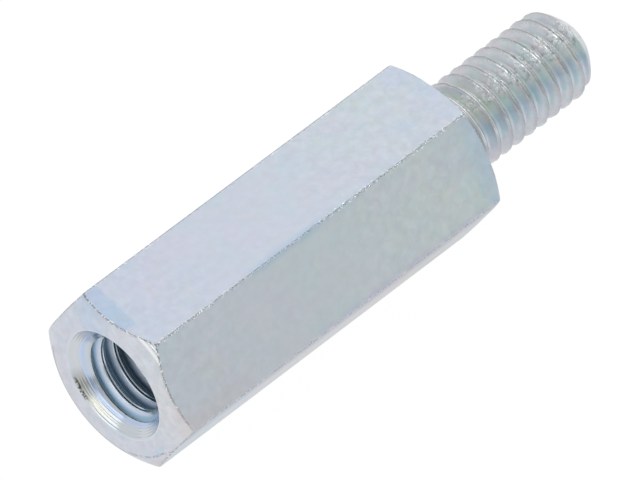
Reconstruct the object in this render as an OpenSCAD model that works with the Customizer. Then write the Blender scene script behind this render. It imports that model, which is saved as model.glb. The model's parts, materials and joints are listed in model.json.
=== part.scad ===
// Hex standoff: a hexagonal spacer turned from drawn bar, with a threaded stud at one end and
// a tapped hole at the other. The axis runs along X. The shoulder that the stud stands on is
// at x = 0, the stud points to +X and the tapped end faces -X. Two of the six flats are level,
// so the spacer lies on its lower flat. Both threads are cut as rings one pitch apart, with
// the true groove section: the crests are then round and closed, so a mate can be fitted.

/* [Drawn bar] */
// Spanner size that the bar is sold by
spanner_size = 7; // [6.8:0.1:9]
// How far drawn bar comes under its spanner size
bar_allowance = 0.08; // [0:0.02:0.2]
// How far the bar's six long edges are worn in from a sharp corner
long_edge_break = 0.02; // [0.01:0.005:0.1]

/* [Body] */
// Length of the body, from the tapped end's face to the shoulder
body_l = 18; // [15:0.5:60]
// Diameter of the flat ring that the chamfer leaves on the tapped end
tapped_face_d = 6.6; // [5.8:0.1:7.2]
// Slope of the tapped end's chamfer, from the end face
tapped_chamfer_angle = 33; // [10:1:45]
// Diameter of the flat ring that the chamfer leaves on the shoulder
shoulder_face_d = 7; // [6:0.05:7.7]
// Slope of the shoulder's chamfer, from the shoulder face
shoulder_chamfer_angle = 25; // [10:1:45]

/* [Threads] */
// Nominal diameter of both threads
thread_d = 4; // [3.4:0.1:4.6]
// Distance from one thread crest to the next
thread_pitch = 0.7; // [0.5:0.05:0.8]
// Angle between the two flanks of a thread groove
flank_angle = 60; // [50:1:70]

/* [Stud] */
// Length of the stud, from the shoulder to its tip
stud_l = 8; // [4:0.1:30]
// How far the stud's crests come under the nominal diameter
stud_allowance = 0.05; // [0:0.01:0.15]
// Plain length between the shoulder and the stud's first groove
stud_runout = 0.3; // [0.1:0.05:1]
// Diameter of the flat at the stud's tip
tip_flat_d = 2.4; // [1.6:0.1:3]
// Length of the chamfer at the stud's tip
tip_chamfer_l = 0.85; // [0.3:0.05:1.2]

/* [Tapped hole] */
// How far the tapping drill comes under the thread's nominal diameter
drill_allowance = 0.6; // [0.4:0.05:0.8]
// Depth of the drilled hole's straight wall, from the end face
drill_depth = 12; // [10.5:0.5:15]
// Depth that the thread reaches, from the end face
tapped_depth = 10; // [3:0.5:11.5]
// How far the roots of the thread reach past the nominal diameter
root_allowance = 0.08; // [0:0.01:0.2]
// Angle of the drill's point
drill_point_angle = 118; // [90:1:150]
// Diameter of the countersink at the end face
countersink_d = 5; // [4.4:0.1:5.6]
// Angle of the countersink, side to side
countersink_angle = 90; // [80:1:130]

/* [Hidden] */
$fn = 96;

// Width of the bar between opposite flats, and between opposite sharp edges
across_flats = spanner_size - bar_allowance;
across_corners = across_flats / cos(30);

// Share of the pitch that stays flat on the stud's crests, in its roots and in the hole's roots
stud_crest_share = 1 / 8;
stud_root_share = 1 / 5;
hole_root_share = 1 / 8;

// Stud: crest radius, half width of a groove at its root and at its mouth, and root radius
stud_crest_r = (thread_d - stud_allowance) / 2;
stud_root_half = thread_pitch * stud_root_share / 2;
stud_mouth_half = thread_pitch * (1 - stud_crest_share) / 2;
stud_root_r = stud_crest_r - (stud_mouth_half - stud_root_half) / tan(flank_angle / 2);

// Hole: crest radius, root radius, and half width of a groove at its root and at its mouth
hole_crest_r = (thread_d - drill_allowance) / 2;
hole_root_r = (thread_d + root_allowance) / 2;
hole_root_half = thread_pitch * hole_root_share / 2;
hole_mouth_half = hole_root_half + (hole_root_r - hole_crest_r) * tan(flank_angle / 2);

// Depth at which the countersink has narrowed to the drilled wall, and length of the drill's point
countersink_depth = (countersink_d / 2 - hole_crest_r) / tan(countersink_angle / 2);
drill_point_l = hole_crest_r / tan(drill_point_angle / 2);

// Length that the stud's blank reaches into the body, so that the two are one piece, and the
// length that a cutting shape runs past the surface that it cuts
stud_seat = 1;
overcut = 0.5;

// Drawn hexagon bar, cut to the body's length, with a level flat above and below
module bar() {
    translate([-body_l, 0, 0]) rotate([90, 0, 90]) cylinder(h = body_l, d = across_corners, $fn = 6);
}

// Half section of the body's round outline, with a chamfer at each end: radius first, then
// the distance from the shoulder. Its straight side takes the sharpness off the bar's edges.
module turned_section() {
    edge_r = across_corners / 2 - long_edge_break;
    tapped_set_back = (edge_r - tapped_face_d / 2) * tan(tapped_chamfer_angle);
    shoulder_set_back = (edge_r - shoulder_face_d / 2) * tan(shoulder_chamfer_angle);
    polygon([
        [0, -body_l],
        [tapped_face_d / 2, -body_l],
        [edge_r, -body_l + tapped_set_back],
        [edge_r, -shoulder_set_back],
        [shoulder_face_d / 2, 0],
        [0, 0]
    ]);
}

// Section of one thread groove, open towards larger radii, with its middle at the height mid
module stud_groove_section(mid) {
    mouth_r = stud_crest_r + overcut;
    mouth_half = stud_mouth_half + overcut * tan(flank_angle / 2);
    polygon([
        [stud_root_r, mid - stud_root_half],
        [mouth_r, mid - mouth_half],
        [mouth_r, mid + mouth_half],
        [stud_root_r, mid + stud_root_half]
    ]);
}

// Half section of the stud: a blank with a chamfered tip, less its thread grooves
module stud_section() {
    first = stud_runout + stud_mouth_half;
    last = stud_l - tip_chamfer_l / 2;
    difference() {
        polygon([
            [0, -stud_seat],
            [stud_crest_r, -stud_seat],
            [stud_crest_r, stud_l - tip_chamfer_l],
            [tip_flat_d / 2, stud_l],
            [0, stud_l]
        ]);
        for (mid = [first : thread_pitch : last]) {
            stud_groove_section(mid);
        }
    }
}

// Section of one thread groove of the hole, open towards the axis, at the depth mid
module hole_groove_section(mid) {
    polygon([
        [0, mid - hole_mouth_half],
        [hole_crest_r, mid - hole_mouth_half],
        [hole_root_r, mid - hole_root_half],
        [hole_root_r, mid + hole_root_half],
        [hole_crest_r, mid + hole_mouth_half],
        [0, mid + hole_mouth_half]
    ]);
}

// Half section of everything that is cut from the tapped end, with depth as the height: the
// drilled hole and its point, the countersink, and the thread grooves
module hole_section() {
    first = countersink_depth + thread_pitch / 2;
    last = tapped_depth - hole_mouth_half;
    mouth_r = countersink_d / 2 + overcut * tan(countersink_angle / 2);
    polygon([
        [0, -overcut],
        [mouth_r, -overcut],
        [hole_crest_r, countersink_depth],
        [hole_crest_r, drill_depth],
        [0, drill_depth + drill_point_l]
    ]);
    for (mid = [first : thread_pitch : last]) {
        hole_groove_section(mid);
    }
}

// The standoff, in one piece
module standoff() {
    color([0.74, 0.77, 0.8])
    difference() {
        union() {
            intersection() {
                bar();
                rotate([0, 90, 0]) rotate_extrude() turned_section();
            }
            rotate([0, 90, 0]) rotate_extrude() stud_section();
        }
        translate([-body_l, 0, 0]) rotate([0, 90, 0]) rotate_extrude() hole_section();
    }
}

standoff();
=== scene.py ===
# %% [markdown]
# # A zinc plated hex standoff
# The part is one piece of drawn hexagon bar. One end is turned down to a threaded stud, the
# other is drilled, countersunk and tapped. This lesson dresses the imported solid: it builds one
# closed skin with true helical threads, eased edges and turning marks, and gives it a satin
# zinc finish. The frame comes first, because every size below is read from it.

# %% Load the frame
import json
import math

import bpy
import numpy as np
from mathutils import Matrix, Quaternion, Vector


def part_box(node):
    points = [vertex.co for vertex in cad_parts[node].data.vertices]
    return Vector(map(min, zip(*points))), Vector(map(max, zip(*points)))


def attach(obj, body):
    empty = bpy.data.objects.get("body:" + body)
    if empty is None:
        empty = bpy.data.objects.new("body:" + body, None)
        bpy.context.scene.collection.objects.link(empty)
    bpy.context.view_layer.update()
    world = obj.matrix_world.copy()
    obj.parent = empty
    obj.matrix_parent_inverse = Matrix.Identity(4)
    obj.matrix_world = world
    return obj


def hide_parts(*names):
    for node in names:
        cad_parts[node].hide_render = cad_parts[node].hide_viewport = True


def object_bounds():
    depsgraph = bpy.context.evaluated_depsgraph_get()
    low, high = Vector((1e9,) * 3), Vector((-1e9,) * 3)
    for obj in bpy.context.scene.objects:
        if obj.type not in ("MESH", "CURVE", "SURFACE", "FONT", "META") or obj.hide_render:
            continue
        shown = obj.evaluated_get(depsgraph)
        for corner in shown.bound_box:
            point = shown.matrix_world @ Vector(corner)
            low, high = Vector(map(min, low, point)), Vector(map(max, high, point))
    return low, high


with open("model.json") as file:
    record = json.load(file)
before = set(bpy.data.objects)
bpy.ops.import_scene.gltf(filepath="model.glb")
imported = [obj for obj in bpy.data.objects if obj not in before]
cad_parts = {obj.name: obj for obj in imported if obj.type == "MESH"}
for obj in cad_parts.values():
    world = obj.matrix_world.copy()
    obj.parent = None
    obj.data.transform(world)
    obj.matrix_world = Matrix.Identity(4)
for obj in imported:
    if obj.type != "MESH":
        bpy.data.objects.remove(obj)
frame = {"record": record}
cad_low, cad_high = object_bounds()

MM = 0.001
print("CAD box in mm:", [round(v / MM, 3) for v in (*cad_low, *cad_high)])

# %% [markdown]
# The solid runs along X. Its shoulder is at x = 0, the tapped end is the lowest x, and the
# stud's tip is the highest. Flats are level, so half the height is half the width across
# flats, and half the depth reaches the eased long edges. The record's mounts give the crest
# radii of both threads. Lengths here are in millimetres, and become metres at the very end.

# %% Read the sizes
low, high = (np.array(corner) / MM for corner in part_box("standoff"))
body_length, stud_length = -low[0], high[0]
flat_radius, edge_radius = high[2], high[1]
mounts = {mount["name"]: mount for mount in frame["record"]["mounts"]}
stud_crest = mounts["stud"]["dims"]["r_mm"]
hole_crest = mounts["tapped_hole"]["dims"]["r_mm"]
print(f"body {body_length:.2f}, stud {stud_length:.2f}, across flats {2 * flat_radius:.2f} mm")

# %% [markdown]
# The thread is M4 with a pitch of 0.7 mm. The sizes that the frame doesn't state are those of
# the same solid: the countersink, the chamfers, and how deep the drill and the tap went. On a
# real part the drill runs a little off the bar's middle, so the hole has a middle of its own.

# %% Name the other sizes
pitch = 0.7
tapped_face_radius, tapped_slope = 3.3, math.tan(math.radians(33))
shoulder_face_radius, shoulder_slope = 3.5, math.tan(math.radians(25))
sink_radius, sink_slope = 2.5, math.tan(math.radians(45))
drill_depth, drill_point, tap_depth = 12.0, 1.02, 10.0
end_face = -body_length
hole_middle = (0.0, 0.08)
print(f"hole drilled {drill_depth} mm deep and tapped {tap_depth} mm, at a pitch of {pitch} mm")

# %% [markdown]
# A lathe leaves a round thing, so the skin is a polar grid: rings of points round the axis,
# one ring after the other from the drill's point, out of the mouth, over the body and along
# the stud to its tip. All rings share the same angles. They are dense at the six long edges,
# because an edge that is eased by a few hundredths needs points of its own to catch a glint.

# %% Choose the angles
near_edge = [0.28, 0.51, 0.66, 1.2]
between = list(range(5, 26, 5))
half_sector = near_edge + between
sector = [0.0] + half_sector + [30.0] + [60.0 - a for a in reversed(half_sector)]
angles = np.radians([60.0 * k + a for k in range(6) for a in sector])
columns = len(angles)
from_edge = np.abs((np.degrees(angles) + 30) % 60 - 30)
print(columns, "columns round the axis")

# %% [markdown]
# Drawn bar has flats that meet at six edges, worn back by a few hundredths of a millimetre. The
# distance from the axis to a flat is flat_radius / cos(angle to the flat's middle). A soft
# minimum of that and the edge radius eases the corner without a crease.


# %% Shape the hexagon
def soft_minimum(a, b, ease):
    """The smaller of a and b, with a round transition of about the size of ease."""
    return b - ease * np.log(np.exp((b - a) / ease) + 1)


sharp = flat_radius / np.cos(np.radians(30 - from_edge))
edge_ease = 0.0025
hexagon = soft_minimum(sharp, edge_radius, edge_ease)
print(f"edges reach {hexagon.max():.3f} of {edge_radius:.3f} mm")

# %% [markdown]
# The skin is collected in two lists, points and faces. A ring adds one point for each angle
# and gives back their numbers. A strip joins two rings with quads whose normals point out of
# the metal when the path goes towards +X on the outside, or towards -X inside the hole.

# %% Collect points and faces
points, faces = [], []


def ring(x, radius, middle=(0, 0)):
    """Adds a ring at x with that radius; either may change with the angle."""
    x = np.broadcast_to(x, columns)
    radius = np.broadcast_to(radius, columns)
    first = len(points)
    points.extend(zip(x, middle[0] + radius * np.cos(angles), middle[1] + radius * np.sin(angles)))
    return np.arange(first, first + columns)


def strip(before, after):
    """Joins two rings, the one that comes first on the path first."""
    for c in range(columns):
        d = (c + 1) % columns
        faces.append((before[c], before[d], after[d], after[c]))


def lathe(profile, before=None, middle=(0, 0)):
    """Turns a list of (x, radius) into rings, joined to each other and to the ring before."""
    for x, radius in profile:
        now = ring(x, radius, middle)
        if before is not None:
            strip(before, now)
        before = now
    return before


# %% [markdown]
# A thread's section repeats once a pitch. Each section is two lists: distances from a crest's
# middle along the axis, and how far the radius there differs from the crest's. The stud was cut
# with a die, which leaves narrow rounded crests and rounded roots. The tapped hole has the two
# small lips with a seam between them that a tap pushes up on the crest.

# %% Section of both threads
stud_section = (
    [0, 0.02, 0.045, 0.075, 0.11, 0.165, 0.25, 0.29, 0.35],
    [0, -0.004, -0.018, -0.043, -0.083, -0.172, -0.322, -0.372, -0.385],
)
hole_section = (
    [0, 0.02, 0.045, 0.062, 0.08, 0.10, 0.125, 0.165, 0.22, 0.275, 0.315, 0.35],
    [0.036, 0.030, 0.008, 0.0, 0.003, 0.014, 0.040, 0.094, 0.168, 0.252, 0.318, 0.345],
)
print(f"the stud's thread is {-stud_section[1][-1]} mm deep, the hole's {hole_section[1][-1]} mm")


def crest_distance(x, crest_x):
    """Distance along the axis from the nearest crest of a right-hand helix, at each angle."""
    turns = (x - crest_x) / pitch - angles / (2 * math.pi)
    return np.abs(turns - np.round(turns)) * pitch


# %% [markdown]
# Rings that lie square to the axis cut a helix at a slant, and its crests come out as steps.
# So the full thread gets rows that climb with it: row j passes x = crest + pitch * (turn +
# angle / 360). One turn later a row meets the row one pitch further on, and they share their
# points there. At both ends, what would pass a plain ring or come closer to it than snap takes
# the ring's own point, so the skin stays closed. The thread that lies past x = 0 is the stud's,
# and its faces look outwards. The hole's look inwards, so their loops are turned round.


# %% Wind a thread
def wind(low_ring, low_x, high_ring, high_x, crest_x, section, radius_at, middle=(0, 0)):
    """Fills the space between two rings with rows that follow the helix. radius_at gives the
    radius from x, the column and the section's own height at that row."""
    snap = 0.006
    offsets = [-x for x in reversed(section[0][1:-1])] + list(section[0])
    heights = list(reversed(section[1][1:-1])) + list(section[1])
    per_turn = len(offsets)
    known = {}

    def point(j, c):
        """The number of the point on row j at column c."""
        if c == columns:
            j, c = j + per_turn, 0
        x = crest_x + offsets[j % per_turn] + pitch * (j // per_turn + angles[c] / (2 * math.pi))
        if x < low_x + snap:
            return low_ring[c]
        if x > high_x - snap:
            return high_ring[c]
        if (j, c) not in known:
            known[j, c] = len(points)
            r = radius_at(x, c, heights[j % per_turn])
            points.append((x, middle[0] + r * math.cos(angles[c]), middle[1] + r * math.sin(angles[c])))
        return known[j, c]

    first = (int((low_x - crest_x) / pitch) - 3) * per_turn
    last = (int((high_x - crest_x) / pitch) + 3) * per_turn
    outward = high_x > 0
    for j in range(first, last):
        for c in range(columns):
            loop = [point(j, c), point(j, c + 1), point(j + 1, c + 1), point(j + 1, c)]
            if not outward:
                loop.reverse()
            loop = [p for i, p in enumerate(loop) if p != loop[i - 1]]
            if len(loop) > 2:
                faces.append(tuple(loop))
    return len(known)


# %% [markdown]
# The path starts at the point that the drill left, goes along the plain wall and reaches the
# tapped length. The tap's lead fades the thread out there over a pitch and a half. The phase
# says where the thread's crest passes angle zero.

# %% Drill and tap the hole
hole_phase = end_face + 0.457
tap_end = end_face + tap_depth
lead = 1.5 * pitch
apex = len(points)
points.append((end_face + drill_depth + drill_point, *hole_middle))
drill_ring = ring(end_face + drill_depth + 0.9 * drill_point, 0.1 * hole_crest, hole_middle)
for c in range(columns):
    faces.append((apex, drill_ring[c], drill_ring[(c + 1) % columns]))
drilled = [(drill_depth + 0.5 * drill_point, 0.5), (drill_depth + 0.03, 0.98), (drill_depth - 0.03, 1)]
drilled = [(end_face + depth, share * hole_crest) for depth, share in drilled]
drilled += [(tap_end + 0.6, hole_crest), (tap_end, hole_crest)]
wall_ring = lathe(drilled, drill_ring, hole_middle)
print(len(points), "points from the drill's point to the thread")


def hole_radius(x, c, height):
    """The hole's radius at x, where the lead fades the section's height."""
    fade = min(1.0, (tap_end - x) / lead)
    return hole_crest + height * fade


# %% [markdown]
# Near the mouth the countersink cuts through the first turn. Plain rings that lie close
# together take the larger of the two radii, so the thread runs out on the cone as a sharp edge
# that winds in. Then come the cone's own turning ridges and its rolled lip.


# %% Cut the mouth
def sink_cone(depth):
    """The countersink's radius at a depth below the end face."""
    return sink_radius - depth * sink_slope


def mouth_radius(depth):
    """The radius where the thread and the countersink cut each other."""
    distance = crest_distance(end_face + depth, hole_phase)
    thread = hole_crest + np.interp(distance, *hole_section)
    return np.maximum(thread, sink_cone(depth))


depths = np.arange(0.86, 0.43, -0.014)
mouth_x = end_face + depths[0]
mouth_ring = ring(mouth_x, mouth_radius(depths[0]), hole_middle)
wound = wind(
    mouth_ring, mouth_x, wall_ring, tap_end, hole_phase, hole_section, hole_radius, hole_middle
)
sink = [(end_face + depth, mouth_radius(depth)) for depth in depths[1:]]
print(wound, "points wound in the hole")

cone_depths = np.linspace(0.42, 0.06, 24)
ridge_height = 0.004
ridges = ridge_height * np.sin(cone_depths * 75)
sink += [(end_face + depth, sink_cone(depth) + ridge) for depth, ridge in zip(cone_depths, ridges)]
lip = [(0.035, -0.037), (0.015, -0.018), (0.004, 0.01), (0.0, 0.04)]
sink += [(end_face + depth, sink_radius + more) for depth, more in lip]
rim_ring = lathe(sink, mouth_ring, hole_middle)
print(len(sink), "rings in the mouth")

# %% [markdown]
# No crease on a used part is sharp. Six rings bend round each one, on a curve that starts on
# one side, aims at the crease and ends on the other side. The bend is small on the flats and
# larger at the corners, which get knocked in the barrel.


# %% Bend round a crease
def easing(least):
    """How far a crease is rounded: least on the flats, and up to a tenth more at the corners."""
    return least + 0.10 * np.clip((hexagon - flat_radius - 0.2) / 0.3, 0, 1)


def bend(before, crease, after, last):
    """Rings round a crease, on a curve. The three places are pairs of x and radius."""
    for s in (0.0, 0.2, 0.4, 0.6, 0.8, 1.0):
        weights = ((1 - s) ** 2, 2 * s * (1 - s), s**2)
        x, radius = (sum(w * p[i] for w, p in zip(weights, (before, crease, after))) for i in (0, 1))
        last = lathe([(x, radius)], last)
    return last


ease = easing(0.014)
print(f"creases eased by {ease.min():.3f} mm on the flats, {ease.max():.3f} mm at the corners")

# %% [markdown]
# The end face is a flat ring, and the chamfer outside it is a cone of 33 degrees. Where the
# cone meets the six flats its outer edge waves, so the last rings follow the hexagon: each
# point keeps its angle, and its x comes from the cone at that radius.


# %% Face and chamfer the tapped end
def tapped_cone(radius):
    """The chamfer's x at a radius."""
    return end_face + (radius - tapped_face_radius) * tapped_slope


cone_start = tapped_face_radius + 0.04
face_ring = lathe([(end_face, r) for r in (2.7, 2.95, tapped_face_radius - 0.04)], rim_ring)
face_ring = lathe([(end_face + 0.003, tapped_face_radius)], face_ring)
face_ring = lathe([(tapped_cone(cone_start), cone_start)], face_ring)
cone_end = hexagon - ease
for share in (0.35, 0.7):
    radius = cone_start + share * (cone_end - cone_start)
    face_ring = lathe([(tapped_cone(radius), radius)], face_ring)
corner_x = tapped_cone(hexagon)
body_start = corner_x + ease * 1.2
body_ring = bend(
    (tapped_cone(cone_end), cone_end), (corner_x, hexagon), (body_start, hexagon), face_ring
)
waves = corner_x - end_face
print(f"the chamfer is {waves.min():.2f} mm long on the flats, {waves.max():.2f} mm at the corners")

# %% [markdown]
# Bar that rolls about in a plating barrel gets small nicks along its edges. Each edge gets
# its own row of random dents a tenth of a millimetre apart, at most a few hundredths deep.
# The seed is fixed, so the same nicks come back on every run.

# %% Nick the long edges
chance = np.random.default_rng(7)
stations = np.arange(end_face + 0.9, -0.55, 0.11)
dents = chance.random((len(stations), 6)) ** 3 * 0.03
near = np.clip(1 - from_edge / 0.6, 0, 1)
edge_number = ((np.degrees(angles) + 30) // 60).astype(int) % 6

first_x = stations[0]
for share in (0.2, 0.6):
    body_ring = lathe([(body_start + share * (first_x - body_start), hexagon)], body_ring)
for row, x in enumerate(stations):
    body_ring = lathe([(x, hexagon - dents[row, edge_number] * near)], body_ring)
print(f"{dents.size} nicks, the deepest {dents.max():.3f} mm")

# %% [markdown]
# The shoulder has a slighter chamfer that only takes the corners, and every edge is broken
# by at least two hundredths. The creases are rounded like those of the tapped end. The face
# then runs in to the stud.

# %% Turn the shoulder
inner = np.minimum(shoulder_face_radius, hexagon - 0.02)
set_back = np.maximum(0.014, (hexagon - shoulder_face_radius) * shoulder_slope)
last_x = stations[-1]
ease = easing(0.012)
body_end = -set_back - ease * 1.2
for share in (0.4, 0.8):
    body_ring = lathe([(last_x + share * (body_end - last_x), hexagon)], body_ring)
taken = np.minimum(0.6, ease / (hexagon - inner))
chamfer_x, chamfer_radius = -set_back * (1 - taken), hexagon + taken * (inner - hexagon)
chamfer_start = (chamfer_x, chamfer_radius)
body_ring = bend((body_end, hexagon), (-set_back, hexagon), chamfer_start, body_ring)
for share in (0.5, 0.9):
    radius = chamfer_radius + share * (inner - chamfer_radius)
    body_ring = lathe([(chamfer_x * (1 - share), radius)], body_ring)
body_ring = lathe([(0.0, inner - 0.03), (0.0, 3.0), (0.0, 2.5), (0.0, 2.14)], body_ring)
print(f"the shoulder's chamfer sets the corners back by {set_back.max():.2f} mm")

# %% [markdown]
# On the stud the first turns rise out of the shoulder, where the die stopped, so the section's
# height fades in there. At the tip a rounded chamfer takes the crests away, and the thread runs
# out over it, as the smaller of the two radii counts.

# %% Shape the stud
stud_phase = 0.18
tip_start, tip_radius = stud_length - 0.95, 1.1
tip_top = stud_crest + 0.02


def stud_radius(x, height):
    """The stud's radius where the section has that height, with both ends worked in."""
    fade = np.clip((x - 0.05) / 0.35, 0, 1)
    share = np.clip((x - tip_start) / (stud_length - tip_start), 0, 1)
    tip = tip_top - (tip_top - tip_radius) * share**1.4
    return np.minimum(stud_crest + height * fade, tip)


def ringed(x):
    """The stud's radius at every angle of a plain ring at x."""
    height = np.interp(crest_distance(x, stud_phase), *stud_section)
    return stud_radius(x, height)


print(f"the stud's tip is rounded from {tip_top:.2f} down to {tip_radius} mm")

# %% [markdown]
# The stud's path has a small fillet, the first turns in plain rings, the full thread and the
# tip. The full thread's crests are battered: three waves that run round the stud at slants of
# their own take up to three hundredths off where they add up, and nothing elsewhere.

# %% Cut the stud
run_out = 0.36
dent = 0.011


def battered(x, c, height):
    """The stud's radius, less the shallow dents of its crests."""
    a = angles[c]
    waves = math.sin(7 * a + 3.1 * x) + math.sin(16 * a - 7.3 * x) + math.sin(29 * a + 12 * x)
    near_crest = max(0, 1 + height / 0.12) * min(1, max(0, x - 0.9) / 0.4)
    return float(stud_radius(x, height)) - dent * max(0, waves) * near_crest


fillet = [(0.004, stud_crest + 0.07), (0.02, stud_crest + 0.03), (0.05, stud_crest)]
first_turn = [(x, ringed(x)) for x in np.arange(0.08, run_out + 0.001, 0.02)]
stud_ring = lathe(fillet + first_turn, body_ring)
tip_stations = np.arange(tip_start - 0.05, stud_length - 0.012, 0.03)
tip_x = tip_stations[0]
tip_ring = ring(tip_x, ringed(tip_x))
wound = wind(stud_ring, first_turn[-1][0], tip_ring, tip_x, stud_phase, stud_section, battered)
print(wound, "points wound on the stud")
end_ring = lathe([(x, ringed(x)) for x in tip_stations[1:]], tip_ring)
end_ring = lathe([(stud_length - 0.004, tip_radius - 0.03)], end_ring)
end_ring = lathe([(stud_length, r) for r in (tip_radius - 0.07, 0.7, 0.35)], end_ring)
apex = len(points)
points.append((stud_length, 0.0, 0.0))
for c in range(columns):
    faces.append((end_ring[c], end_ring[(c + 1) % columns], apex))

# %% [markdown]
# The stud leans by a few hundredths of a millimetre, as a turned stud may, so every point past
# its first turn moves sideways by a share of its x. Then Blender turns the two lists into a
# mesh. The check afterwards looks at every edge: on a closed skin each one has exactly two
# faces.

# %% Make the piece
lean_start, lean_y, lean_z = 0.4, 0.0045, 0.0030


def leaning(x, y, z):
    """A point in its place on the leaning stud."""
    past = max(x - lean_start, 0)
    return (x, y + lean_y * past, z + lean_z * past)


points = [leaning(*point) for point in points]
mesh = bpy.data.meshes.new("standoff_skin")
in_metres = [tuple(v * MM for v in point) for point in points]
mesh.from_pydata(in_metres, [], [tuple(map(int, face)) for face in faces])
mesh.validate()
mesh.polygons.foreach_set("use_smooth", [True] * len(mesh.polygons))
mesh.update()
standoff = bpy.data.objects.new("standoff_skin", mesh)
bpy.context.scene.collection.objects.link(standoff)
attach(standoff, "root")
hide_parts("standoff")

loop_edges = np.zeros(len(mesh.loops), int)
mesh.loops.foreach_get("edge_index", loop_edges)
uses = np.bincount(loop_edges, minlength=len(mesh.edges))
triangles = sum(len(face) - 2 for face in faces)
print("edges without two faces:", int((uses != 2).sum()), "triangles:", triangles)

# %% [markdown]
# Materials in Blender are graphs of nodes. Written out link by link they are hard to read,
# so this class wraps one output socket and lets an expression such as 1 - mask * 0.4 add the
# Math nodes. Everything else comes from node(), which sets a node's settings first and then
# gives each socket a value or a wire. Tints go on with tinted(), as films lie on metal: the
# colour below shows through.


# %% A wire that does sums
class Wire:
    """One output socket of a material, which can be added, multiplied and compared."""

    def __init__(self, tree, socket):
        self.tree = tree
        self.socket = socket

    def node(self, kind, settings=None, sockets=None, output=0):
        """Adds a node with its settings and inputs, and gives a wire from one of its outputs."""
        made = self.tree.nodes.new(kind)
        for name, value in (settings or {}).items():
            if name == "stops":
                stops = made.color_ramp.elements
                while len(stops) < len(value):
                    stops.new(0.5)
                for stop, (place, shade) in zip(stops, value):
                    stop.position = place
                    stop.color = (*shade, 1)
            else:
                setattr(made, name, value)
        for name, value in (sockets or {}).items():
            if isinstance(value, Wire):
                self.tree.links.new(value.socket, made.inputs[name])
            else:
                made.inputs[name].default_value = value
        return Wire(self.tree, made.outputs[output] if made.outputs else None)

    def sum(self, operation, a, b=0.0):
        """A Math node of one or two values."""
        return self.node("ShaderNodeMath", {"operation": operation}, {0: a, 1: b})

    def __add__(self, other):
        return self.sum("ADD", self, other)

    def __sub__(self, other):
        return self.sum("SUBTRACT", self, other)

    def __rsub__(self, other):
        return self.sum("SUBTRACT", other, self)

    def __mul__(self, other):
        return self.sum("MULTIPLY", self, other)

    def __truediv__(self, other):
        return self.sum("DIVIDE", self, other)

    __radd__ = __add__
    __rmul__ = __mul__

    def ramp(self, start, end):
        """0 below start, 1 above end, and smooth between; start may be the larger one."""
        settings = {"interpolation_type": "SMOOTHSTEP"}
        if start < end:
            sockets = {"Value": self, "From Min": start, "From Max": end}
        else:
            sockets = {"Value": self, "From Min": end, "From Max": start, "To Min": 1.0, "To Max": 0.0}
        return self.node("ShaderNodeMapRange", settings, sockets)

    def mix(self, other, share):
        """This colour, going over to other by share."""
        if isinstance(other, tuple):
            other = (*other, 1)
        sockets = {0: share, 6: self, 7: other}
        return self.node("ShaderNodeMix", {"data_type": "RGBA"}, sockets, output=2)

    def through(self, film):
        """This colour seen through a film, each channel multiplied by the film's."""
        return self.node("ShaderNodeVectorMath", {"operation": "MULTIPLY"}, {0: self, 1: film})

    def tinted(self, film, share):
        """This colour, with a film that covers it by share."""
        return self.mix(self.through(film), share)


# %% [markdown]
# The finish is zinc with a clear blue passivate. It is a metal, so the base colour tints what
# it mirrors. The film is thinner and thicker in places and shows weak blue, green, lavender
# and cream tints, stronger on the turned surfaces than on the drawn flats. Its material starts
# with no nodes at all, so that everything it does is written here.


# %% Start the zinc
def blank_material(name):
    """A material with no nodes, and a wire to start its nodes from."""
    material = bpy.data.materials.new(name)
    material.use_nodes = True
    material.node_tree.nodes.clear()
    return material, Wire(material.node_tree, None)


def tally(finished):
    """Prints how many nodes the zinc has after a step."""
    print(f"{finished}: {len(zinc.node_tree.nodes)} nodes")


zinc, start = blank_material("zinc_plate")
tally("a blank material")

# %% [markdown]
# Wear and tints need to know where on the part they are. So the places are named first:
# coordinates in millimetres, the distance from the axis, the angle round it, and masks that
# are 1 on the stud, in the hole and in its bore, and 0 elsewhere.

# %% Places on the part
place = start.node("ShaderNodeTexCoord", output=3)
spot = start.node("ShaderNodeVectorMath", {"operation": "SCALE"}, {0: place, "Scale": 1 / MM})
x_mm, y_mm, z_mm = (start.node("ShaderNodeSeparateXYZ", None, {0: spot}, axis) for axis in range(3))
radius_mm = start.sum("SQRT", y_mm * y_mm + z_mm * z_mm)
hole_y, hole_z = y_mm - hole_middle[0], z_mm - hole_middle[1]
hole_mm = start.sum("SQRT", hole_y * hole_y + hole_z * hole_z)
turn = start.sum("ARCTAN2", z_mm, y_mm)
around = start.sum("FLOORED_MODULO", turn, 2 * math.pi) * (1 / (2 * math.pi))
on_stud = x_mm.ramp(-0.02, 0.06)
in_hole = hole_mm.ramp(2.56, 2.5) * x_mm.ramp(-6.0, -7.0)
depth_mm = x_mm - end_face
past_cone = start.sum("ABSOLUTE", depth_mm - (sink_radius - hole_mm) / sink_slope)
in_bore = past_cone.ramp(0.01, 0.03) * depth_mm.ramp(0.40, 0.44) * in_hole
tally("places")

# %% [markdown]
# Each flat is told from its neighbours by the angle. Folding the angle into one sixth gives
# the distance to the nearest long edge, and how far a point lies below its flat. The chamfers
# are cones, so x and the radius tell how far a point lies from them. On the crease between a
# flat and a chamfer both distances are zero, and the larger one measures the way to it.

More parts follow.
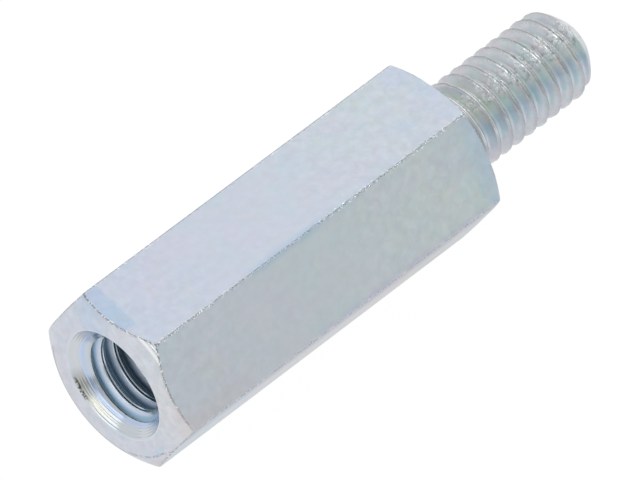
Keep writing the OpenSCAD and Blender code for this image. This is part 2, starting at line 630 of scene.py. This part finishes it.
# %% Distance to the creases
half_sixth = math.radians(30)
from_middle = half_sixth - start.sum("PINGPONG", turn + 4 * math.pi, half_sixth)
across = radius_mm * start.sum("SINE", from_middle)
below_flat = flat_radius - radius_mm * start.sum("COSINE", from_middle)
half_flat = flat_radius * math.tan(half_sixth)
to_long_edge = half_flat - across
to_front_edge = depth_mm - (radius_mm - tapped_face_radius) * tapped_slope
to_back_edge = (shoulder_face_radius - radius_mm) * shoulder_slope - x_mm
on_body = radius_mm.ramp(3.0, 3.2) * (1 - on_stud)
front_crease = start.sum("MAXIMUM", to_front_edge, below_flat)
back_crease = start.sum("MAXIMUM", to_back_edge, below_flat)
crease = start.sum("MINIMUM", to_long_edge, start.sum("MINIMUM", front_crease, back_crease))
on_flat = below_flat.ramp(0.02, 0.008) * to_front_edge.ramp(0.0, 0.02) * on_body
tally(f"creases of flats {2 * half_flat:.2f} mm wide")

# %% [markdown]
# Four small helpers carry the rest. Noise gives a soft random value. A colour ramp sorts a
# value into tints. Another ramp does so by the angle round the axis, because a metal bar
# mirrors something else at every angle. The last gives a mask for a sector of that angle.

# %% Noise, ramps and sectors
def noise(scale, detail=2.0, output=0, **more):
    """A soft random value, or three others as a colour from output 1."""
    sockets = {"Vector": spot, "Scale": scale, "Detail": detail, **more}
    return start.node("ShaderNodeTexNoise", None, sockets, output)


def colours(value, stops):
    """Sorts a value into tints, given as pairs of a place and a tint."""
    return start.node("ShaderNodeValToRGB", {"stops": stops}, {0: value})


def by_angle(value, stops):
    """Tints that change round the axis, given at angles in degrees from +Y towards +Z."""
    return colours(value, [(degrees / 360, shade) for degrees, shade in stops])


def sector_mask(begin, full, fade, end):
    """1 between the angles full and fade, 0 before begin and after end, in degrees."""
    return around.ramp(begin / 360, full / 360) * around.ramp(end / 360, fade / 360)


# %% [markdown]
# The passivate is a film thinner than a wavelength of light, so its thickness shows as colour.
# Noise of three sizes stands for the thickness. A grey noise varies the tone as well, because
# the zinc under the film grows duller in some places.

# %% Films of the passivate
film_stops = [
    (0.28, (0.95, 1.00, 0.92)),
    (0.40, (0.88, 0.97, 0.99)),
    (0.50, (0.96, 0.98, 0.98)),
    (0.60, (0.96, 0.95, 1.00)),
    (0.72, (1.00, 0.97, 0.92)),
]
wide_film = colours(noise(0.55, 3.0), film_stops)
small_film = colours(noise(2.0, 4.0), film_stops)
fine_film = colours(noise(5.0, 3.0), film_stops)
tone = colours(noise(2.6, 4.0, 0, Distortion=0.4), [(0.30, (0.88, 0.88, 0.88)), (0.70, (1, 1, 1))])
tally(f"films of {len(film_stops)} tints")

# %% [markdown]
# A drawn flat is the calmest surface. Its tint drifts slowly along the bar, and the mottling
# is livelier towards both ends, which rub against other parts in the barrel. Each flat starts
# from its own tone, and the films are laid over it one after the other, the finest last.

# %% Tint of the flats
lively = 0.40 + x_mm.ramp(-9.0, -5.0) * 0.50 + x_mm.ramp(-13.0, -15.5) * 0.35
flat_tone = tone.mix((0.94, 0.94, 0.94), 1 - lively)
long_film = colours((x_mm + body_length) * (1 / body_length) + (noise(0.7, 3.0) - 0.5) * 0.6, [
    (0.00, (0.97, 0.98, 1.00)),
    (0.30, (0.98, 0.98, 0.99)),
    (0.50, (0.96, 0.99, 0.98)),
    (0.70, (0.99, 0.99, 0.98)),
    (0.85, (0.98, 1.00, 0.94)),
    (1.00, (0.94, 0.98, 1.00)),
])
own_tone = by_angle(around, [
    (119, (0.82, 0.84, 0.94)),
    (121, (0.84, 0.88, 0.92)),
    (179, (0.84, 0.88, 0.92)),
    (181, (0.86, 0.84, 0.88)),
    (239, (0.86, 0.84, 0.88)),
    (241, (0.82, 0.84, 0.94)),
])
flat_tint = own_tone.through(long_film).through(flat_tone)
flat_tint = flat_tint.tinted(wide_film, 0.5)
flat_tint = flat_tint.tinted(small_film, lively * 0.35)
flat_tint = flat_tint.tinted(fine_film, lively * 0.2)
tally("the flats")

# %% [markdown]
# The film is thicker where the liquid drains off. That leaves blue beside the upper long edge
# and lavender above the edge below it. Under that edge a darker band is painted shade, as of
# the rounded edge, and that flat goes pale blue at the tapped end. The corner there is beige.
# There is more blue by the shoulder, and one clear blue patch on the upper flat at the tapped
# end, with a ragged border.

# %% Stronger tints by the edges, and painted shade under one
beside = to_long_edge.ramp(0.36, 0.02) * x_mm.ramp(-15.0, -11.5) * x_mm.ramp(-2.0, -7.0)
beside = beside * (0.35 + 0.65 * x_mm.ramp(-12.8, -11.2) * x_mm.ramp(-7.2, -9.0))
beside = beside * sector_mask(100, 104, 150, 160)
flat_tint = flat_tint.tinted((0.82, 0.92, 1.0), beside)

low_edge = to_long_edge.ramp(0.36, 0.10) * sector_mask(165, 170, 180, 181) * x_mm.ramp(-13.0, -9.0)
flat_tint = flat_tint.tinted((0.96, 0.92, 1.0), low_edge * noise(1.6).ramp(0.36, 0.52))

# painted shade: a darker band on the flat under the lower long edge
painted_shade_under_edge = to_long_edge.ramp(1.8, 0.5) * sector_mask(180, 181, 205, 212)
flat_tint = flat_tint.tinted((0.78, 0.81, 0.88), painted_shade_under_edge)
beige_corner = to_long_edge.ramp(1.1, 0.4) * x_mm.ramp(-13.6, -15.0) * sector_mask(150, 160, 179, 180)
flat_tint = flat_tint.tinted((1.03, 0.965, 0.95), beige_corner)
pale_end = x_mm.ramp(-12.4, -14.0) * sector_mask(180, 182, 239, 240)
flat_tint = flat_tint.tinted((0.92, 1.02, 1.03), pale_end)

by_shoulder = x_mm.ramp(-1.7, -0.1) * sector_mask(118, 122, 178, 182)
flat_tint = flat_tint.tinted((0.90, 0.95, 1.0), by_shoulder)

ragged = (noise(9.0) - 0.5) * 0.3
blue_end = (x_mm - y_mm * 0.15 + ragged).ramp(end_face + 0.88, end_face + 0.76)
blue_end = blue_end * z_mm.ramp(3.3, 3.4) * (y_mm + ragged).ramp(-0.75, -0.55)
flat_tint = flat_tint.tinted((0.84, 0.93, 1.0), blue_end)
tally("tints by the edges")

# %% [markdown]
# Plate builds up on a thread's crests, and less of it reaches the grooves. So crests and grooves
# take a tint of their own. Both tints also change round the axis as painted light and shade: the
# grooves are painted light to lift the shade they lie in, and the crests on the lower right are
# painted darker. The first grooves by the shoulder, where the liquid stays longest, turned olive.

# %% Tint of the stud, with painted light and shade
drift = around + (noise(1.1, 3.0) - 0.5) * 0.06 * on_stud
# painted shade: the crests' tint is darker on the lower right
crest_tint_and_shade = by_angle(drift, [
    (50, (0.84, 0.81, 0.83)),
    (70, (0.85, 0.81, 0.82)),
    (90, (0.78, 0.76, 0.76)),
    (110, (0.88, 0.85, 0.86)),
    (130, (0.92, 0.92, 0.88)),
    (150, (0.60, 0.60, 0.63)),
    (170, (0.62, 0.62, 0.66)),
    (190, (0.66, 0.63, 0.67)),
    (215, (0.80, 0.79, 0.81)),
])
# painted light: the grooves' tint is lighter, to lift the shade they lie in
valley_tint_and_light = by_angle(drift, [
    (50, (0.93, 0.88, 0.92)),
    (75, (0.99, 0.98, 1.00)),
    (92, (1.00, 0.99, 1.00)),
    (112, (1.00, 0.98, 0.99)),
    (132, (0.96, 1.00, 0.97)),
    (150, (0.77, 0.87, 0.93)),
    (175, (0.91, 0.96, 1.00)),
    (200, (0.90, 0.88, 0.92)),
    (230, (0.90, 0.86, 0.89)),
])
olive = sector_mask(48, 70, 122, 138) * x_mm.ramp(4.0, 1.6)
olive = olive * (0.45 + 0.55 * noise(0.9).ramp(0.35, 0.6))
valley_tint_and_light = valley_tint_and_light.mix((0.90, 0.92, 0.84), olive)
on_crest = radius_mm.ramp(stud_crest - 0.20, stud_crest - 0.04)
stud_tint = valley_tint_and_light.mix(crest_tint_and_shade, on_crest).through(small_film)
stud_tint = stud_tint.mix(stud_tint.through(fine_film).through(tone), 0.7)
first_groove = sector_mask(44, 60, 118, 134) * x_mm.ramp(1.9, 0.7)
stud_tint = stud_tint.tinted((0.95, 1.0, 0.90), first_groove)
tally("the stud")

# %% [markdown]
# The end face and its chamfer were turned, so their film lies in sectors: blue at the upper
# left, beige on the right of the chamfer, purple at the lower corner, and one small blue spot.

# %% Tint of the tapped end
face_tint = by_angle(around, [
    (0, (0.81, 0.82, 0.90)),
    (48, (0.80, 0.82, 0.91)),
    (66, (0.70, 0.79, 0.94)),
    (90, (0.81, 0.83, 0.91)),
    (120, (0.84, 0.85, 0.91)),
    (160, (0.84, 0.845, 0.88)),
    (190, (0.82, 0.83, 0.89)),
    (228, (0.80, 0.81, 0.90)),
    (250, (0.81, 0.82, 0.90)),
])
beige = sector_mask(154, 164, 180, 192) * radius_mm.ramp(3.30, 3.50)
face_tint = face_tint.mix((0.84, 0.81, 0.81), beige * 0.8)
blue_spot = sector_mask(206, 214, 222, 230) * radius_mm.ramp(2.93, 3.05) * radius_mm.ramp(3.24, 3.12)
face_tint = face_tint.mix((0.70, 0.81, 0.95), blue_spot * 0.8)
purple = sector_mask(205, 222, 236, 246) * radius_mm.ramp(3.3, 3.5)
face_tint = face_tint.mix((0.76, 0.74, 0.79), purple)
face_tint = face_tint.through(tone)
face_tint = face_tint.tinted(wide_film, 0.2)
face_tint = face_tint.tinted(small_film, 0.5)
tally("the tapped end")

# %% [markdown]
# In the countersink the film changes from the rim inwards in rings. On the lower left the colour
# is brightened into a creamy painted highlight with a brighter painted highlight ring in the
# middle, its inner edge is painted darker as painted shade, and higher up it is darkened as
# painted shade. The thread's flanks go from pale blue at the crest to deep blue at the root: a
# blue film, painted darker towards the root as painted shade.

# %% Tint of the hole, with painted highlights and shade
tint_start, tint_width = 1.8, 0.75
across_sink = (hole_mm - tint_start) * (1 / tint_width) + (noise(1.2, 2.0) - 0.5) * 0.08
sink_tint = colours(across_sink, [
    (0.05, (0.600, 0.660, 0.660)),
    (0.20, (0.660, 0.720, 0.780)),
    (0.30, (0.600, 0.700, 0.880)),
    (0.38, (0.580, 0.695, 0.906)),
    (0.46, (0.650, 0.730, 0.890)),
    (0.53, (0.680, 0.725, 0.780)),
    (0.62, (0.715, 0.750, 0.785)),
    (0.75, (0.690, 0.735, 0.780)),
    (0.86, (0.690, 0.740, 0.800)),
    (0.96, (0.750, 0.810, 0.880)),
])
# painted highlight: a creamy band on the lower left of the countersink
creamy_highlight = sector_mask(276, 294, 326, 342) * hole_mm.ramp(2.18, 2.26)
sink_tint = sink_tint.tinted((1.05, 1.01, 0.92), creamy_highlight)
# painted highlight: a brighter ring in the middle of that band
highlight_ring = sector_mask(266, 282, 302, 316) * hole_mm.ramp(2.22, 2.27) * hole_mm.ramp(2.38, 2.33)
sink_tint = sink_tint.tinted((1.25, 1.22, 1.12), highlight_ring)
# painted shade: the inner edge on the lower left, and a sector higher up
inner_edge_shade = sector_mask(260, 272, 308, 318) * hole_mm.ramp(2.07, 2.02)
shaded = sector_mask(316, 330, 332, 348) * hole_mm.ramp(2.10, 2.18)
sink_tint = sink_tint.tinted((0.58, 0.55, 0.53), inner_edge_shade)
sink_tint = sink_tint.tinted((0.76, 0.75, 0.74), shaded)
# painted shade: the blue flanks darken towards the root
flank_tint_and_shade = colours((hole_mm - hole_crest) * (1 / 0.35), [
    (0.0, (0.70, 0.78, 0.84)),
    (0.25, (0.78, 0.86, 0.98)),
    (0.40, (0.62, 0.75, 0.95)),
    (0.52, (0.48, 0.63, 0.82)),
    (0.66, (0.42, 0.59, 0.75)),
    (1.0, (0.44, 0.60, 0.68)),
])
tally("the hole")

# %% [markdown]
# Masks lay the tints of all the places over each other. Past the hole's first turns little light
# and little plating get in, and the metal is painted dark there: painted shade, with the thinner
# plate. At the lip of the countersink, on the left, a short stretch is painted almost black as a
# painted dark reflection.

# %% Lay the tints together, with painted shade in the hole
# painted shade: the bore darkens past its first turns
deep_shade = depth_mm.ramp(0.9, 3.4) * in_bore
base = face_tint.mix(flat_tint, on_flat).mix(stud_tint, on_stud)
base = base.mix(sink_tint, in_hole).mix(flank_tint_and_shade, in_bore).mix((0.16, 0.20, 0.25), deep_shade * 0.85)
# painted dark reflection: a nearly black stretch of the countersink's lip
dark_lip_reflection = hole_mm.ramp(2.37, 2.41) * hole_mm.ramp(2.52, 2.48) * sector_mask(306, 313, 330, 337)
base = base.mix((0.10, 0.11, 0.12), dark_lip_reflection * noise(9.0, 1.0).ramp(0.46, 0.54) * 0.85)
tally("all tints")

# %% [markdown]
# Each crease is painted as a thin dark line, broken up by tiny pits: painted shade on the eased
# edge. The chamfer's outer border is painted dull as the same painted shade, and so is the border
# between the end face and the chamfer's lowest corner.

# %% Painted shade on the creases
turned = (1 - on_flat) * on_body
by_mouth = depth_mm.ramp(1.0, 0.8)
pits = noise(16.0, 1.0)
# painted shade: a thin dark line along every crease
crease_shade = crease.ramp(0.05, 0.015) * on_body * pits.ramp(0.38, 0.55)
base = base.mix((0.30, 0.31, 0.33), crease_shade * 0.8)

on_chamfer = radius_mm.ramp(tapped_face_radius - 0.05, tapped_face_radius + 0.02)
on_chamfer = on_chamfer * (1 - on_flat) * by_mouth
# painted shade: the chamfer's outer border
chamfer_border_shade = below_flat.ramp(0.10, 0.02) * on_chamfer
base = base.mix((0.50, 0.48, 0.49), chamfer_border_shade * pits.ramp(0.30, 0.50) * 0.55)
# painted shade: the border between the end face and the chamfer's lower corner
lower_border_shade = radius_mm.ramp(tapped_face_radius - 0.09, tapped_face_radius - 0.01)
lower_border_shade = lower_border_shade * depth_mm.ramp(0.02, 0.01) * sector_mask(244, 262, 359, 360)
base = base.mix((0.50, 0.49, 0.49), lower_border_shade * 0.8)
tally("worn creases")

# %% [markdown]
# On the corner of the chamfer that was cut last, the tool stepped and chattered. It left one
# broad arc, with finer arcs and grooves outside it, in relief. The arcs are painted white as
# painted highlights, and the grooves dark as painted shade. Their spacing follows the radius, as
# on anything turned, and a little noise makes them wavy.

# %% Arcs on one corner, painted bright
corner = sector_mask(97, 106, 128, 131) * on_chamfer
step_up = radius_mm.ramp(3.60, 3.74) * corner
wavy = radius_mm * 68.0 + (noise(2.0, 1.0) - 0.5) * 2.0
fine_arc_highlights = start.sum("SINE", wavy).ramp(0.1, 0.8) * noise(5.0, 1.0).ramp(0.40, 0.52)
fine_arc_highlights = fine_arc_highlights * radius_mm.ramp(3.76, 3.80)
main_arc_highlight = start.sum("ABSOLUTE", radius_mm - 3.68).ramp(0.06, 0.04)
# painted highlight: the arcs are painted white
arc_highlights = start.sum("MAXIMUM", fine_arc_highlights, main_arc_highlight) * corner
base = base.mix((1.0, 1.0, 1.0), arc_highlights)
# painted shade: dark lines in the grooves between the arcs
groove_shade = start.sum("SINE", wavy + 3.0).ramp(0.5, 1.0) * corner * radius_mm.ramp(3.72, 3.78)
base = base.mix((0.50, 0.50, 0.51), groove_shade * noise(9.0, 1.0).ramp(0.42, 0.55) * 0.8)
tally("arc_highlights")

# %% [markdown]
# Parts knock against each other in the barrel and nick the metal beside the long edges and the
# front crease. There bright sparks are painted white, painted highlights where fresh zinc
# mirrors the lamps, and the dark dots between them are painted shade of the nicks. The middle of
# the bar was hit less, and one of the lower edges has dots but no sparks. The face has one faint
# scratch and a few specks.

# %% Beaten edges, painted sparks and the scratch
beaten = (to_long_edge.ramp(0.13, 0.06) + front_crease.ramp(0.08, 0.03)) * on_body
quiet = x_mm.ramp(-13.6, -12.6) * x_mm.ramp(-7.4, -8.6)
# painted highlight: white sparks beside the edges
painted_sparks = noise(10.0, 1.0).ramp(0.57, 0.63) * beaten * (1 - quiet * 0.75)
painted_sparks = painted_sparks * (1 - sector_mask(166, 172, 188, 194))
base = base.mix((1.0, 1.0, 1.0), painted_sparks)
# painted shade: dark dots of the nicks
dot_shade = noise(13.0, 1.0, 1).ramp(0.58, 0.66) * beaten
base = base.mix((0.40, 0.40, 0.41), dot_shade * 0.8)

off_scratch = start.sum("ABSOLUTE", radius_mm - 3.21 - around.ramp(218 / 360, 194 / 360) * 0.44)
scratch = off_scratch.ramp(0.07, 0.02) * sector_mask(194, 200, 250, 260) * turned * by_mouth
base = base.mix((0.42, 0.45, 0.51), scratch * noise(7.0, 2.0).ramp(0.36, 0.56) * 0.85)
specks = noise(6.5, 1.0, 1).ramp(0.65, 0.71) * turned * by_mouth
base = base.mix((0.45, 0.47, 0.50), specks * 0.5)
tally("beaten edges")

# %% [markdown]
# The stud's crests carry a broken brownish line, painted shade that is weaker on the upper side.
# Along its top runs a scuffed band, with dark gouges and scars and many glints that are longer
# round the axis than along it; the glints are painted white as painted highlights, over bumps
# and smoother spots of their own. On the first turns the crests are rubbed and painted bright as
# a painted highlight.

# %% Scuffs on the stud, with painted glints and shade
# painted shade: a broken dark line on the crests, weaker on the upper side
crest_shade_line = radius_mm.ramp(stud_crest - 0.035, stud_crest - 0.01) * on_stud
shade_patches = noise(0.8, 1.0).ramp(0.40, 0.56) * (1 - sector_mask(24, 44, 114, 128) * 0.8)
base = base.mix((0.40, 0.38, 0.37), crest_shade_line * pits.ramp(0.40, 0.60) * shade_patches * 0.6)

gouges = noise(5.0, 2.0, 1).ramp(0.53, 0.61) * sector_mask(88, 100, 124, 134)
base = base.mix((0.36, 0.40, 0.41), gouges * on_stud * x_mm.ramp(2.0, 3.6) * 0.6)
scuffed = sector_mask(86, 98, 120, 130) * on_stud * noise(1.2, 2.0).ramp(0.30, 0.46)
stretched = start.node("ShaderNodeCombineXYZ", None, {0: x_mm, 1: around * 5.6, 2: radius_mm * 0.6})
# painted highlight: the glints are painted white
painted_glints = noise(10.0, 1.0, 0, Vector=stretched).ramp(0.48, 0.54) * scuffed * (on_crest * 0.4 + 0.6)
base = base.mix((1.0, 1.0, 1.0), painted_glints)
scars = noise(9.0, 2.0, 1).ramp(0.56, 0.66) * scuffed
base = base.mix((0.40, 0.45, 0.45), scars * 0.6)
# painted highlight: the crests of the first turns are painted bright
rubbed_highlight = radius_mm.ramp(stud_crest - 0.07, stud_crest - 0.03) * x_mm.ramp(3.4, 1.2)
rubbed_highlight = rubbed_highlight * sector_mask(80, 95, 150, 170) * on_stud
base = base.mix((1.0, 1.0, 1.0), rubbed_highlight * 0.8)
tally("scuffs")

# %% [markdown]
# The shader is a Principled one. It is a metal, apart from the stud's grooves and the top of its
# crests on one side, where the film is milky. Its roughness is that of a satin plate, smoother
# where a tool cut or something rubbed. The height has the grain of the plating, the rings of
# the lathe, and the relief of each mark above, so that the bright ones catch the small lamp.

# %% The zinc shader
grain = noise(9.0, 3.0)
fine = noise(22.0, 2.0)
on_tip = x_mm.ramp(stud_length - 0.3, stud_length - 0.1)
thread_flank = in_bore * hole_mm.ramp(hole_crest + 0.02, hole_crest + 0.05)

rough = 0.36 + (grain - 0.5) * 0.12 - turned * 0.06 - in_hole * 0.18 + thread_flank * 0.32
rough = rough - on_crest * on_stud * 0.10 - (painted_glints + painted_sparks) * 0.14 - step_up * 0.08
milky_top = sector_mask(24, 44, 88, 98) * x_mm.ramp(1.0, 2.4)
metallic = 1 - on_stud * (1 - on_crest * (1 - milky_top)) * (1 - painted_glints) * 0.4

rings = start.sum("SINE", radius_mm * 90.0) * (turned + on_tip)
rings = rings + start.sum("SINE", hole_mm * 114.0) * in_hole * (1 - in_bore)
height = grain * 0.4 + fine * 0.3 + rings * 0.3 + fine * on_crest * on_stud * 0.5
height = height + painted_glints * 6.0 + painted_sparks * 10.0 + scars * 3.0 + step_up * 11.0
height = height + start.sum("SINE", wavy) * corner * radius_mm.ramp(3.74, 3.78) * 2.5
bump = start.node("ShaderNodeBump", None, {"Strength": 0.25, "Distance": 0.00001, "Height": height})
skin = start.node(
    "ShaderNodeBsdfPrincipled",
    None,
    {"Base Color": base, "Metallic": metallic, "Roughness": rough, "Normal": bump},
)
start.node("ShaderNodeOutputMaterial", None, {"Surface": skin})
mesh.materials.append(zinc)
tally("the whole zinc")

# %% [markdown]
# The part lies on its lower flat, on a plain white floor. The floor takes the shadow, and
# shows the camera and the metal a white close to 1, so the ground is white without more light
# on the part.

# %% Floor
reach = 40 * body_length * MM
floor_z = cad_low[2] - 0.00002
corners = [(-reach, -reach), (reach, -reach), (reach, reach), (-reach, reach)]
floor_mesh = bpy.data.meshes.new("floor")
floor_mesh.from_pydata([(x, y, floor_z) for x, y in corners], [], [(0, 1, 2, 3)])
floor = bpy.data.objects.new("floor", floor_mesh)
bpy.context.scene.collection.objects.link(floor)

paper, ground = blank_material("white_floor")
pale = (0.85, 0.85, 0.85, 1)
lit = ground.node("ShaderNodeBsdfDiffuse", None, {"Color": pale})
white = ground.node("ShaderNodeEmission", None, {"Color": (1, 1, 1, 1), "Strength": 1.1})
mirrored = ground.node("ShaderNodeEmission", None, {"Color": pale, "Strength": 1.0})
by_camera = ground.node("ShaderNodeLightPath", output="Is Camera Ray")
by_metal = ground.node("ShaderNodeLightPath", output="Is Glossy Ray")
shown = ground.node("ShaderNodeMixShader", None, {0: by_camera * 0.86, 1: lit, 2: white})
shown = ground.node("ShaderNodeMixShader", None, {0: by_metal, 1: shown, 2: mirrored})
ground.node("ShaderNodeOutputMaterial", None, {"Surface": shown})
floor_mesh.materials.append(paper)
print(f"the floor is {2 * reach:.2f} m wide")

# %% [markdown]
# Soft boxes stand round the part, as in a light tent. Each is an area lamp that faces the
# part from a bearing and a height, and its power is worked out from the brightness that its
# face should have, so that brightness can be compared with the world's. One small bright lamp
# stands high behind the part. The smooth surfaces hardly show it, but each spark, glint and
# tool mark that tilts towards it lights up.


# %% Lights
def soft_box(name, bearing, height, distance, width, brightness, tall=None):
    """A lamp, square unless tall is given. Bearing goes from +X towards +Y, in degrees."""
    tall = tall or width
    b, h = math.radians(bearing), math.radians(height)
    away = Vector((math.cos(b) * math.cos(h), math.sin(b) * math.cos(h), math.sin(h)))
    lamp = bpy.data.lights.new(name, "AREA")
    lamp.shape = "RECTANGLE"
    lamp.size, lamp.size_y = width, tall
    lamp.energy = brightness * math.pi * width * tall
    made = bpy.data.objects.new(name, lamp)
    made.location = away * distance
    made.rotation_mode = "QUATERNION"
    made.rotation_quaternion = (-away).to_track_quat("-Z", "Y")
    bpy.context.scene.collection.objects.link(made)
    return made


soft_box("overhead_box", 44, 47, 0.3, 0.36, 0.45)
soft_box("right_box", -74, 20, 0.3, 0.20, 0.30)
soft_box("back_box", -28, 48, 0.3, 0.30, 0.26)
soft_box("far_wall", 24, 14, 0.3, 0.40, 0.24, 0.20)
soft_box("front_wall", 155, 15, 0.3, 0.70, 0.38, 0.24)
soft_box("front_window", 176, 31, 0.3, 0.31, 0.62, 0.10)
soft_box("small_lamp", -17, 58, 0.3, 0.022, 8.0)
print(len(bpy.data.lights), "lamps")

# %% [markdown]
# The rest of the tent is the world, a plain grey that is a little blue. It fills the shadows
# and gives the metal something to mirror between the soft boxes.

# %% World
world = bpy.data.worlds.new("studio")
bpy.context.scene.world = world
world.use_nodes = True
sky = world.node_tree.nodes["Background"]
sky.inputs["Color"].default_value = (0.38, 0.395, 0.40, 1)
sky.inputs["Strength"].default_value = 1.0
print("the tent's grey:", [round(v, 3) for v in sky.inputs["Color"].default_value[:3]])

# %% [markdown]
# The camera looks down at the part from the tapped end with a very long lens, so that lines
# stay almost parallel. It is placed from a bearing, a height and a distance.

# %% Camera
azimuth, elevation, roll = -45.911, 45.615, -0.52
distance = 0.471264
aim = Vector((-6.610, -0.220, -0.150)) * MM
a, e = math.radians(azimuth), math.radians(elevation)
back = Vector((math.sin(a) * math.cos(e), -math.cos(a) * math.cos(e), math.sin(e)))
lens = bpy.data.cameras.new("camera")
lens.lens = 675.0
lens.sensor_width = 36.0
lens.clip_start, lens.clip_end = 0.01, 10.0
camera = bpy.data.objects.new("camera", lens)
camera.location = aim + back * distance
camera.rotation_mode = "QUATERNION"
upright = (-back).to_track_quat("-Z", "Y")
camera.rotation_quaternion = upright @ Quaternion((0, 0, 1), math.radians(roll))
bpy.context.scene.collection.objects.link(camera)
bpy.context.scene.camera = camera
bpy.context.scene.view_settings.view_transform = "Standard"
print(f"the camera stands {distance:.2f} m away, with a {lens.lens:.0f} mm lens")
